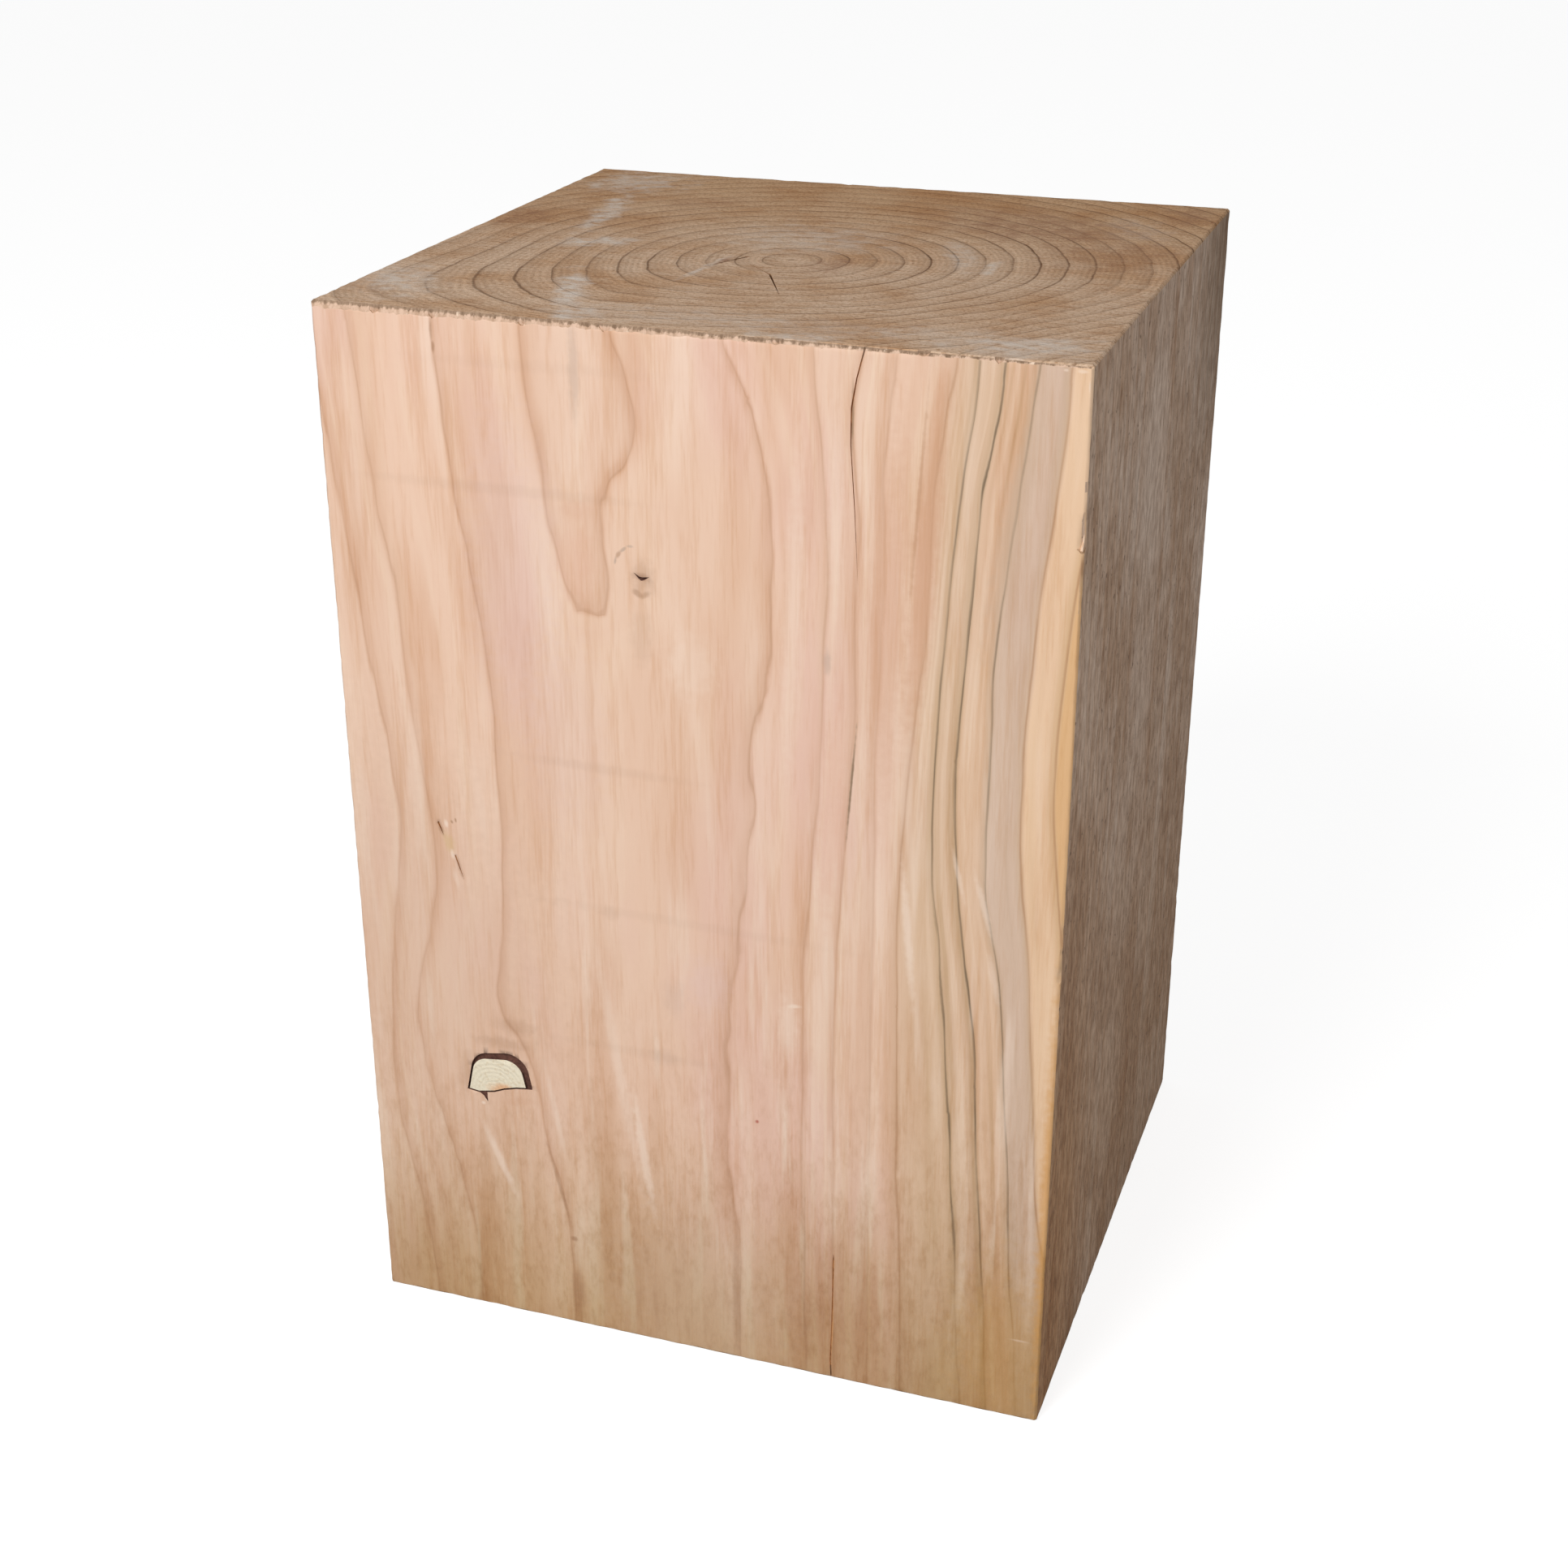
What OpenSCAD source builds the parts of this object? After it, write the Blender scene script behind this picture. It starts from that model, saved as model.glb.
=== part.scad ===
// Sawn solid wood block, boxed around the pith of a softwood log.
// The grain runs upright along Z and the growth rings show on the two ends.
// Origin: centre of the base. +Z is up and the knotted front face looks along -Y.

/* [Block] */
// Width across the front face, mm
block_w = 200; // [150:1:300]
// Depth from the front face to the back face, mm
block_d = 190; // [145:1:285]
// Height along the grain, mm
block_h = 300; // [225:1:450]
// Leg of the small flat worn on every sawn edge, mm
arris = 0.6; // [0.3:0.1:1.5]

/* [Torn top edge] */
// Height torn away at the left end of the top front edge, mm
torn_left_h = 1.9; // [1.6:0.1:5]
// Height torn away at the right end of the top front edge, mm
torn_right_h = 0.8; // [0.5:0.1:1.5]
// Lean of the torn face from upright, degrees
torn_lean = 24; // [15:1:40]
// Depth of the bites that the saw tore out of that edge, mm
bite_deep = 0.6; // [0.4:0.1:2]

/* [Heart checks] */
// Distance of the pith from the front face, mm
pith_from_front = 64; // [50:1:80]
// Sideways shift of the pith from the middle, mm
pith_shift = 0; // [-10:1:10]
// Length of the open check that runs towards the front right, mm
open_check_l = 25; // [10:1:40]
// Widest opening of that check, at the pith, mm
open_check_w = 0.6; // [0.4:0.1:2]
// Depth of that check into the end grain, mm
open_check_deep = 12; // [4:1:30]
// Direction of that check from +X, degrees
open_check_turn = -65; // [-80:1:-50]
// Length of the fine check that runs towards the back left, mm
fine_check_l = 23; // [10:1:35]
// Direction of the fine check from +X, degrees
fine_check_turn = 133; // [120:1:150]
// Length of the gouge left of the pith, mm
gouge_l = 18; // [8:1:25]

/* [Encased knot] */
// Distance of the middle of the knot's lower edge from the left side of the block, mm
knot_from_left = 39.8; // [30:0.1:55]
// Height of that middle above the base, mm
knot_z = 76.4; // [50:0.1:120]
// Tilt of the lower edge, up to the right, degrees
knot_tilt = 10; // [0:1:20]
// Radius of the bark pocket's largest arc, at the upper right of the knot, mm
pocket_r = 6.5; // [5:0.1:9]
// Gap left by the bark at the top and right of the knot, mm
bark_gap = 2.1; // [1:0.1:2.5]
// Gap left by the bark at the left and under the knot, mm
thin_gap = 0.5; // [0.4:0.1:1]
// Depth of the bark gap into the face, mm
gap_deep = 0.9; // [0.5:0.1:3]
// Length of the spike of bark below the knot, mm
spike_l = 3.2; // [2:0.1:6]

/* [Pin knot] */
// Distance of the pin knot from the left side of the block, mm
pin_from_left = 87.8; // [70:0.1:100]
// Distance of the pin knot below the top, mm
pin_below_top = 63.5; // [40:0.5:90]
// Length of its open pit, mm
pit_l = 4.2; // [1.5:0.1:6]

/* [Torn grain] */
// Distance of the patch of torn grain from the left side of the block, mm
tear_from_left = 29.4; // [20:0.1:40]
// Height of that patch above the base, mm
tear_z = 152; // [130:1:170]
// Length of its longer slit, mm
tear_l = 7.7; // [4:0.1:10]

/* [Face checks] */
// Distance of the drying checks from the left side of the block, mm
check_from_left = 140; // [120:1:142]
// Length of the check that rises from the base, mm
low_check_l = 43; // [20:1:60]
// Length of the check that hangs from the top, mm
high_check_l = 60; // [30:1:90]
// Widest opening of the low check, mm
low_check_w = 0.6; // [0.4:0.1:1.5]
// Widest opening of the high check, mm
high_check_w = 0.4; // [0.3:0.1:1]
// Depth of the face checks, mm
face_check_deep = 0.5; // [0.4:0.1:4]

/* [Edge damage] */
// Distance of the torn splinter's root below the top, on the front right edge, mm
splinter_below_top = 44; // [30:1:80]
// Length of edge that the splinter left bare, mm
splinter_l = 14; // [8:1:24]
// Depth of the bare place, mm
splinter_deep = 1.3; // [0.8:0.1:2.5]
// Height above the base of the bruise lower down on that edge, mm
bruise_z = 140; // [110:1:180]
// Width of the chip in the top back edge, mm
chip_w = 3; // [1.5:0.1:6]
// Shift of that chip from the middle, mm
chip_shift = -17.5; // [-40:0.5:40]

/* [Hidden] */
$fn = 96;
wood_colour = [0.87, 0.72, 0.61];
// Overshoot of every cut past the face that it opens on
over = 1;
left = -block_w / 2;
right = block_w / 2;
front = -block_d / 2;
back = block_d / 2;
pith_y = front + pith_from_front;
// Rise of the torn top edge along the width
torn_slope = atan((torn_left_h - torn_right_h) / block_w);
// Arcs that bound the bark pocket, as shares of its largest arc's radius: place to the right of
// and above the middle of the lower edge, then radius, and last the share of the inset kept there
pocket_arcs = [
    [0.66, 0.8, 1, 1], [-0.185, 0.877, 0.923, 0.82], [1.31, 0.15, 0.37, 1], [-1.345, -0.575, 0.385, 0.85]
];
// Bites along the top front edge: place as a share of the width, then width and height in mm
bites = [
    [0.09, 4, 2.4], [0.17, 3, 2.2], [0.29, 3, 2], [0.4, 4, 1.9], [0.62, 4, 1.5], [0.8, 4, 1.3], [0.89, 3, 1.2]
];
// Course of the low check up from the base, and of the high check down from the top:
// sideways drift in mm, share of the length, share of the opening
low_course = [[0, 0, 0.9], [-0.3, 0.15, 0.7], [0.1, 0.4, 1], [0.2, 0.7, 0.6], [0.3, 0.94, 0.9], [0.3, 1, 0]];
high_course = [[0, 0, 1], [-2, 0.13, 0.8], [-3.2, 0.25, 1], [-3.3, 0.4, 0.6], [-2.2, 0.65, 0.5], [-1, 1, 0]];

wood_block();

// The one solid: a sawn prism with what growth, drying and handling did to it.
module wood_block() {
    color(wood_colour)
        difference() {
            sawn_prism();
            torn_top_edge();
            for (bite = bites) torn_bite(bite);
            heart_checks();
            on_front(left + knot_from_left, knot_z) rotate(knot_tilt) bark_gap_cut();
            on_front(left + pin_from_left, block_h - pin_below_top) pin_pit();
            on_front(left + tear_from_left, tear_z) torn_grain();
            face_checks();
            splinter_seat(block_h - splinter_below_top, splinter_l, splinter_deep);
            splinter_seat(bruise_z, 1.4 * splinter_l, 0.6 * splinter_deep);
            back_chip();
        }
}

// Prism whose twelve edges are all worn to a small flat.
module sawn_prism() {
    intersection() {
        linear_extrude(block_h) eased(block_w, block_d);
        translate([0, back, block_h / 2])
            rotate([90, 0, 0])
                linear_extrude(block_d) eased(block_w, block_h);
        translate([left, 0, block_h / 2])
            rotate([90, 0, 90])
                linear_extrude(block_w) eased(block_d, block_h);
    }
}

// Rectangle about the origin with its corners cut off by the arris.
module eased(wide, high) {
    x = wide / 2;
    y = high / 2;
    polygon([
        [-x + arris, -y], [x - arris, -y], [x, -y + arris], [x, y - arris],
        [x - arris, y], [-x + arris, y], [-x, y - arris], [-x, -y + arris]
    ]);
}

// Places a flat drawing on the front face, X to the right and Y up.
module on_front(x, z) {
    translate([x, front, z]) rotate([90, 0, 0]) children();
}

// Sinks a drawing into the face it lies on, to a depth.
module sink(deep) {
    translate([0, 0, -deep]) linear_extrude(deep + over) children();
}

// The top front edge tore as the saw left the wood: most at the left, little at the right.
module torn_top_edge() {
    reach = 4 * torn_left_h;
    translate([left, front, block_h - torn_left_h])
        rotate([0, -torn_slope, 0])
            rotate([-torn_lean, 0, 0])
                translate([-reach, -reach, 0])
                    cube([block_w + 2 * reach, reach, reach]);
}

// Fibres pulled out of the torn edge: a ragged bite with one steep side.
module torn_bite(bite) {
    wide = bite[1];
    high = bite[2];
    on_front(left + bite[0] * block_w, block_h)
        sink(bite_deep)
            polygon([
                [-wide / 2, over], [-0.38 * wide, -0.6 * high], [-0.1 * wide, -high],
                [0.25 * wide, -0.7 * high], [wide / 2, over]
            ]);
}

// Slender drying crack from the origin along X: widest at its root, closing at its tip.
module tapered_crack(length, wide) {
    polygon([
        [-wide / 2, 0], [0, -wide / 2], [0.4 * length, -0.35 * wide], [length, 0],
        [0.45 * length, 0.3 * wide], [0, wide / 2]
    ]);
}

// Cracks that open at the pith as the end grain dries, with the gouge beside them.
module heart_checks() {
    translate([pith_shift, pith_y, block_h]) {
        rotate(open_check_turn)
            sink(open_check_deep) tapered_crack(open_check_l, open_check_w);
        rotate(fine_check_turn)
            sink(open_check_deep / 2) tapered_crack(fine_check_l, open_check_w / 2);
        translate([-0.7 * gouge_l, gouge_l, 0])
            rotate(-115)
                sink(1) tapered_crack(gouge_l, 1.4 * open_check_w);
    }
}

// Outline of the dead branch or, with no inset, of the bark pocket that it died in.
// Its lower edge dips a little to the left of the middle.
module knot_outline(inset, thin) {
    r = pocket_r;
    shift = (inset - thin) / 2;
    shrink = (inset + thin) / 2;
    intersection() {
        translate([-shift, -shift])
            hull()
                for (arc = pocket_arcs)
                    translate([arc[0] * r, arc[1] * r]) circle(arc[2] * r - arc[3] * shrink);
        translate([0, thin])
            polygon([
                [-2 * r, 0], [-1.5 * r, 0], [-0.97 * r, -0.17 * r], [-0.23 * r, -0.15 * r], [0.28 * r, -0.03 * r],
                [0.9 * r, 0.03 * r], [2 * r, 0], [2 * r, 3 * r], [-2 * r, 3 * r]
            ]);
    }
}

// The bark has shrunk from around the dead branch and leaves an open crescent and a spike.
module bark_gap_cut() {
    r = pocket_r;
    sink(gap_deep)
        difference() {
            knot_outline(0, 0);
            knot_outline(bark_gap, thin_gap);
        }
    sink(gap_deep / 2)
        polygon([
            [-1.02 * r, -0.1 * r], [-0.8 * r, -0.15 * r - 0.35 * spike_l], [-0.66 * r, -0.15 * r - spike_l],
            [-0.58 * r, -0.1 * r]
        ]);
}

// The winged pit at the heart of the pin knot.
module pin_pit() {
    sink(0.2 * pit_l)
        polygon(pit_l * [
            [-0.48, 0.22], [-0.2, -0.1], [0, -0.26], [0.2, -0.2], [0.52, 0.02], [0.08, -0.04], [-0.12, 0]
        ]);
}

// Two slits where fibres tore out along the grain.
module torn_grain() {
    wide = 0.08 * tear_l;
    translate(tear_l * [-0.4, 0.87])
        rotate(-69) sink(wide) tapered_crack(0.52 * tear_l, wide);
    translate(tear_l * [0.19, -0.35])
        rotate(-73) sink(wide / 2) tapered_crack(tear_l, 0.7 * wide);
}

// Crack that follows a course along the grain, up for a positive length or down for a negative one.
module grain_crack(course, length, wide) {
    start = sign(length) * over;
    polygon(concat(
        [[course[0][0] - wide / 2, -start]],
        [for (step = course) [step[0] - step[2] * wide / 2, step[1] * length]],
        [for (i = [len(course) - 2:-1:0]) [course[i][0] + course[i][2] * wide / 2, course[i][1] * length]],
        [[course[0][0] + wide / 2, -start]]
    ));
}

// Drying checks along the grain of the front face.
module face_checks() {
    on_front(left + check_from_left, 0)
        sink(face_check_deep) grain_crack(low_course, low_check_l, low_check_w);
    on_front(left + check_from_left + 5.8, block_h)
        sink(face_check_deep) grain_crack(high_course, -high_check_l, high_check_w);
}

// Long flake missing from the front right edge: deepest at its root, running out upwards.
module splinter_seat(z, length, deep) {
    translate([right, front, z])
        rotate([90, 0, 135])
            translate([0, 0, -length])
                linear_extrude(2 * length)
                    polygon([[-over, -0.2 * length], [deep, 0], [0, length], [-over, length]]);
}

// Small chip broken out of the top back edge.
module back_chip() {
    translate([chip_shift, back, block_h])
        rotate(180)
            sink(0.4 * chip_w)
                polygon([
                    [-chip_w, -over], [-chip_w / 2, 0.1 * chip_w], [0, 0.5 * chip_w],
                    [0.4 * chip_w, 0.3 * chip_w], [0.6 * chip_w, -over]
                ]);
}
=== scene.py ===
"""Dressed model of a rough-sawn softwood block, laid out as a Blender add-on.

The block is one piece of wood, sawn around the pith of a log. Its shape comes from the
solid model; this file gives it worn edges, growth rings that run through all its faces,
an encased knot, drying checks, splinters and a studio to stand in.
"""
import math

import bmesh
import bpy
import numpy as np
from bpy.props import FloatProperty, FloatVectorProperty, PointerProperty
from mathutils import Matrix, Vector, noise


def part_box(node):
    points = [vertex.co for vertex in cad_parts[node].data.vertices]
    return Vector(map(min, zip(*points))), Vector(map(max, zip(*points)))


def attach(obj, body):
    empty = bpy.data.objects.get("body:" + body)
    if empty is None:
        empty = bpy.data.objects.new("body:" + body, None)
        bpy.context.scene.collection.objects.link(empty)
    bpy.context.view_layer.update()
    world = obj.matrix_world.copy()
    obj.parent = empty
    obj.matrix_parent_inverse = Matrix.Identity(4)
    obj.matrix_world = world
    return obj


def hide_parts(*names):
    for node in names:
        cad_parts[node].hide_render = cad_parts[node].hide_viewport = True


bl_info = {
    "name": "Sawn Wood Block",
    "version": (1, 0, 0),
    "blender": (4, 5, 0),
    "location": "View3D > Sidebar > Wood Block",
    "description": "Dresses a sawn softwood block with grain, knots, checks and worn edges",
    "category": "Object",
}

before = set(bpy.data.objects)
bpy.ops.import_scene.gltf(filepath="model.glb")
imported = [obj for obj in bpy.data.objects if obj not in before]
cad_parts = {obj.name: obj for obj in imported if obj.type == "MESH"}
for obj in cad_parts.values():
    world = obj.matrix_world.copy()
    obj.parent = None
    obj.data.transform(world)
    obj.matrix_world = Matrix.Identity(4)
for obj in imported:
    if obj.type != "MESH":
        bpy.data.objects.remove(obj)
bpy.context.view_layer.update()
BLOCK_LOW, BLOCK_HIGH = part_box("wood_block")
LEFT, FRONT, _ = BLOCK_LOW
RIGHT, _, TOP = BLOCK_HIGH
MM = 0.001

# Lines that the growth rings draw on the front face, each as (height above the base,
# distance from the left side) in mm. The ring's age in years names the line.
FLAME_AGE = 11
FLAME_LEFT = [(225, 69.8), (230, 68), (238, 65.4), (245, 63.6), (256, 62.2), (282, 58.3), (300, 56.7)]
FLAME_RIGHT = [
    (225, 77), (228, 78.2), (233, 78.8), (245, 77.1), (256, 76.7),
    (261, 80), (269, 85.8), (275, 87), (287, 85), (300, 80.5),
]
FLAME_CORE = [
    (0, 85), (80, 80), (150, 75), (225, 73.5), (246, 70.8), (256, 69.5), (275, 73.5), (300, 68.6),
]
# Age along the core of the flame: younger inside the flame, older below its blunt tip
CORE_AGE = [
    (0, 11.5), (90, 11.48), (140, 11.42), (190, 11.32), (214, 11.22), (225, 11), (236, 10.78),
    (260, 10.65), (300, 10.55),
]
LEFT_RINGS = {
    14: [
        (0, 17), (33, 13.3), (58, 8.3), (87, 7.5), (112, 9.2), (137, 13.3),
        (158, 15), (178, 13.3), (200, 10), (230, 6.7), (257, 3.3), (300, -2),
    ],
    13: [
        (0, 30), (25, 30.8), (53, 25), (75, 18.3), (92, 15.8), (103, 15.8), (125, 21.7),
        (145, 24.8), (165, 23.5), (200, 20), (227, 18.3), (245, 15), (267, 12.5), (300, 9),
    ],
    12: [
        (0, 61), (30, 61.7), (50, 57.5), (64, 53.3), (78, 52.5), (92, 47), (103, 41.5),
        (117, 41.7), (133, 44.2), (165, 45.3), (190, 44.5),
        (217, 42.5), (233, 40), (257, 35.8), (300, 33.3),
    ],
}
RIGHT_RINGS = {
    12: [
        (0, 112.5), (42, 113.3), (67, 110.8), (100, 111.4), (117, 111.7),
        (133, 115), (147, 115.8), (162, 115), (175, 117.5), (200, 119.2),
        (220, 122.5), (240, 124.2), (268, 121.7), (285, 116.7), (300, 109.2),
    ],
    13: [
        (0, 132.5), (40, 131.5), (130, 131.7), (158, 133.4),
        (200, 136), (242, 137.3), (270, 136), (300, 132.5),
    ],
    14: [
        (0, 140.5), (43, 140.2), (108, 139.6), (142, 140.6), (170, 142.3),
        (192, 143.7), (206, 145.1), (225, 144.5), (242, 144.3),
        (255, 145.2), (272, 143.2), (285, 142.8), (300, 145.8),
    ],
    15: [(0, 150.3), (200, 150), (250, 151.3), (270, 150.2), (300, 154)],
    16: [(0, 160), (75, 158), (150, 156), (190, 158.5), (225, 162.3), (273, 164.1), (300, 168.5)],
    17: [
        (0, 178), (45, 175.9), (78, 173.2), (110, 171.5), (138, 168.9), (163, 165.5),
        (180, 165.2), (217, 166.3), (242, 167.9), (273, 170.6), (288, 172.9), (300, 173.6),
    ],
    18: [
        (0, 185.6), (45, 182.9), (89, 179.4), (122, 177.5), (155, 173), (180, 170.6),
        (200, 170.6), (250, 173.8), (267, 174.8), (288, 178.6), (300, 179.6),
    ],
    19: [
        (0, 194), (29, 192.5), (47, 190.4), (114, 186.3), (141, 183.9), (161, 179.4),
        (217, 179.4), (236, 180.7), (267, 183.9), (300, 187.8),
    ],
    20: [
        (0, 203), (50, 200), (74, 196.3), (105, 194.1), (149, 190.9), (180, 188),
        (200, 187.7), (236, 189.8), (283, 194.6), (300, 195),
    ],
    21: [(0, 212), (147, 200), (190, 195.5), (211, 195.7), (242, 198.4), (300, 206)],
}
# How strongly each year's line shows on the front face: age, then strength
LINE_STRENGTH = [
    (11, 0.75), (12, 0.78), (13, 0.62), (14, 0.65), (15, 0.4), (16, 0.65), (17, 0.85), (18, 1),
    (19, 0.7), (20, 0.6), (21, 0.7),
]

# Places on the front face, as (distance from the left side, height above the base) in mm
KNOT_MIDDLE = (40.5, 81)
PIN_KNOT = (87.8, 236.5)
# Height of the splinter's root on the front right edge, and its seat's reach up and down, in mm
SPLINTER_ROOT = 256
SEAT_REACH = 16
# How far in from the right side the seat's floor lies, in mm: least and most
SEAT_DEPTHS = (0.35, 0.9)
# Where the pocket of bark around the knot ends, left, right, low and high, and its depth, in mm
POCKET_BOX = (28, 54, 70, 91)
POCKET_DEPTH = 6
# The pin knot's pit is the front's only opening above this height and left of this place, in mm
PIT_LOW = 220
PIT_RIGHT = 100
# How far the torn strip reaches down from the top edge and in from the front, in mm
TORN_HEIGHT = 6
TORN_DEPTH = 4
# Faces inside an opening lie this far from the block's own faces and edges, in mm
INSIDE_FACE = 0.03
INSIDE_EDGE = 3.4
# Widths in mm of rings past the drawn lines: year 15 and older at the left, and those at the right
YEAR_15_WIDTH = 24
LEFT_WIDTH = 12
RIGHT_WIDTH = 8
# How deep the front's own rings and their spacing reach, in mm
FRONT_RINGS_DEPTH = 85
FRONT_PACE_DEPTH = 6
# How close points count as one when the mesh is joined or cut, in metres
SAME_POINT = 1e-6
CUT_POINT = 1e-7


def shade(red, green, blue):
    """Linear colour of an everyday 0 to 255 colour."""
    return tuple(
        c / 255 / 12.92 if c <= 10 else ((c / 255 + 0.055) / 1.055) ** 2.4 for c in (red, green, blue)
    )


def colour_property(name, description, default):
    return FloatVectorProperty(
        name=name, description=description, default=default, size=3, min=0, max=1, subtype="COLOR"
    )


def wood_colour(name, description, *colour):
    return colour_property(name, description, shade(*colour))


def number_property(name, description, default, **more):
    return FloatProperty(name=name, description=description, default=default, **more)


def length_property(name, description, default):
    return number_property(name, description, default, unit="LENGTH", precision=4)


class BlockSettings(bpy.types.PropertyGroup):
    """Sizes and colours of the wood."""

    grid_step: length_property("Grid step", "Distance between the cuts that refine the faces", 2.5 * MM)
    edge_wear: length_property("Edge wear", "Most that wear takes off a sawn edge", 0.45 * MM)
    pith_x: length_property("Pith X", "Sideways place of the ring centre", 0.0)
    pith_y: length_property("Pith Y", "Place of the ring centre from front to back", -13 * MM)
    ring_width: length_property("Ring width", "Mean width of one year's growth", 7.4 * MM)
    lean: number_property("Lean", "How much narrower the rings grow to the right", 0.02, min=0, max=0.6)
    early_wood: wood_colour("Early wood", "Pale wood at the start of a ring", 236, 201, 178)
    late_wood: wood_colour("Late wood", "Darker wood at the end of a ring", 222, 180, 150)
    ring_line: wood_colour("Ring line", "Thin line that closes a ring", 172, 124, 88)
    grey_line: wood_colour("Grey line", "Thin line that closes a tight ring", 104, 88, 66)
    pink_cloud: wood_colour("Pink cloud", "Faint pink patches in the heartwood", 232, 192, 178)
    sapwood: wood_colour("Sapwood", "Pale young wood outside the heart", 241, 206, 170)
    old_gold: wood_colour("Old gold", "Golden outermost wood", 222, 172, 112)
    heart_stain: wood_colour("Heart stain", "Grey-blue band just inside the sapwood", 212, 186, 168)
    # Partly a stain and partly painted shade: it darkens and yellows the foot of the front face.
    foot_stain_and_shade: wood_colour("Foot stain", "Yellow-brown stain that the foot takes up", 216, 208, 180)
    rough_side: wood_colour("Rough side", "Fuzzy weathered wood of the other sides", 238, 216, 198)
    rough_dark: wood_colour("Rough side, dark", "Darker fibres of the rough sides", 184, 160, 142)
    end_early: wood_colour("End early wood", "Pale wood of the end grain", 226, 196, 168)
    end_late: wood_colour("End late wood", "Dark ring lines of the end grain", 122, 90, 62)
    end_scuff: wood_colour("End scuff", "Dusty scuffs on the end grain", 216, 202, 189)
    knot_wood: wood_colour("Knot wood", "Cream wood of the dead branch", 238, 227, 203)
    knot_stain: wood_colour("Knot stain", "Resin-orange stain at the foot of the knot", 228, 170, 122)
    bark: wood_colour("Bark", "Bark left around the dead branch", 86, 58, 48)
    resin: wood_colour("Resin", "Brown resin in the drying checks of the front", 176, 118, 72)


class StageSettings(bpy.types.PropertyGroup):
    """Camera, light and floor of the studio."""

    azimuth: number_property("Azimuth", "Camera's turn right", math.radians(18.81), subtype="ANGLE")
    elevation: number_property("Elevation", "Camera's rise", math.radians(24.65), subtype="ANGLE")
    distance: length_property("Distance", "Camera's distance from what it looks at", 0.7192)
    aim_x: length_property("Aim X", "Sideways place of what the camera looks at", -5.93 * MM)
    aim_y: length_property("Aim Y", "Depth of what the camera looks at", -2.02 * MM)
    aim_z: length_property("Aim Z", "Height of what the camera looks at", 139.75 * MM)
    lens: number_property("Lens", "Focal length on a 36 mm sensor, mm", 54.9)
    floor: colour_property("Floor", "Pale studio floor", (0.42, 0.42, 0.42))
    floor_glow: colour_property("Floor glow", "Glow that only the camera sees", (0.81, 0.81, 0.81))
    key_power: number_property("Key light", "Power of the large front light", 14.6, subtype="POWER")
    fill_power: number_property("Fill light", "Power of the light on the right", 3.6, subtype="POWER")
    ambient: number_property("Ambient", "Strength of the light from all round", 0.32)


# A mix node's sockets when it mixes colours: share, first and second colour, and its result
MIX_INPUTS = (0, 6, 7)
MIX_RESULT = 2


class NodeNet:
    """Adds shader nodes to one tree and joins them with short calls; noises follow its position."""

    def __init__(self, tree):
        self.tree = tree
        self.position = None

    def put(self, socket, source):
        """Joins a socket to another node's output, or sets its own value."""
        if isinstance(source, bpy.types.NodeSocket):
            self.tree.links.new(source, socket)
        elif socket.type == "RGBA" and len(source) == 3:
            socket.default_value = (*source, 1)
        else:
            socket.default_value = source

    def node(self, kind, inputs=None, **settings):
        made = self.tree.nodes.new(kind)
        for name, value in settings.items():
            setattr(made, name, value)
        for name, source in (inputs or {}).items():
            self.put(made.inputs[name], source)
        return made

    def math(self, operation, *values):
        made = self.node("ShaderNodeMath", operation=operation)
        for socket, value in zip(made.inputs, values):
            self.put(socket, value)
        return made.outputs[0]

    def times(self, first, second):
        return self.math("MULTIPLY", first, second)

    def times_add(self, value, factor, more):
        return self.math("MULTIPLY_ADD", value, factor, more)

    def vector(self, operation, *values, output=0):
        made = self.node("ShaderNodeVectorMath", operation=operation)
        for socket, value in zip(made.inputs, values):
            self.put(socket, value)
        return made.outputs[output]

    def rise(self, value, low, high):
        """0 below low, 1 above high, smooth between; low above high turns it round."""
        made = self.node("ShaderNodeMapRange", interpolation_type="SMOOTHSTEP")
        turned = low > high
        for name, source in (
            ("Value", value), ("From Min", min(low, high)), ("From Max", max(low, high)),
            ("To Min", float(turned)), ("To Max", float(not turned)),
        ):
            self.put(made.inputs[name], source)
        return made.outputs[0]

    def mix(self, share, first, second, blend="MIX"):
        made = self.node("ShaderNodeMix", data_type="RGBA", blend_type=blend)
        for socket, source in zip(MIX_INPUTS, (share, first, second)):
            self.put(made.inputs[socket], source)
        return made.outputs[MIX_RESULT]

    def noise(self, scale, detail=2.0, roughness=0.5, position=None):
        place = self.position if position is None else position
        inputs = {"Vector": place, "Scale": scale, "Detail": detail, "Roughness": roughness}
        return self.node("ShaderNodeTexNoise", inputs).outputs["Fac"]

    def stretch(self, position, x, y, z):
        return self.vector("MULTIPLY", position, (x, y, z))

    def grain(self, finer, detail=2.0, roughness=0.5, position=None):
        """Noise drawn out by how fine it is along each axis, in spots to the metre."""
        place = self.position if position is None else position
        return self.noise(1, detail, roughness, self.stretch(place, *finer))

    def split(self, position):
        return self.node("ShaderNodeSeparateXYZ", {"Vector": position}).outputs

    def random(self, value):
        """A fixed random number for each value."""
        made = self.node("ShaderNodeTexWhiteNoise", {"W": value}, noise_dimensions="1D")
        return made.outputs["Value"]

    def group(self, tree, **inputs):
        made = self.node("ShaderNodeGroup", node_tree=tree)
        self.put(made.inputs["Position"], self.position)
        for name, source in inputs.items():
            self.put(made.inputs[name.replace("_", " ")], source)
        return made.outputs


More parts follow.
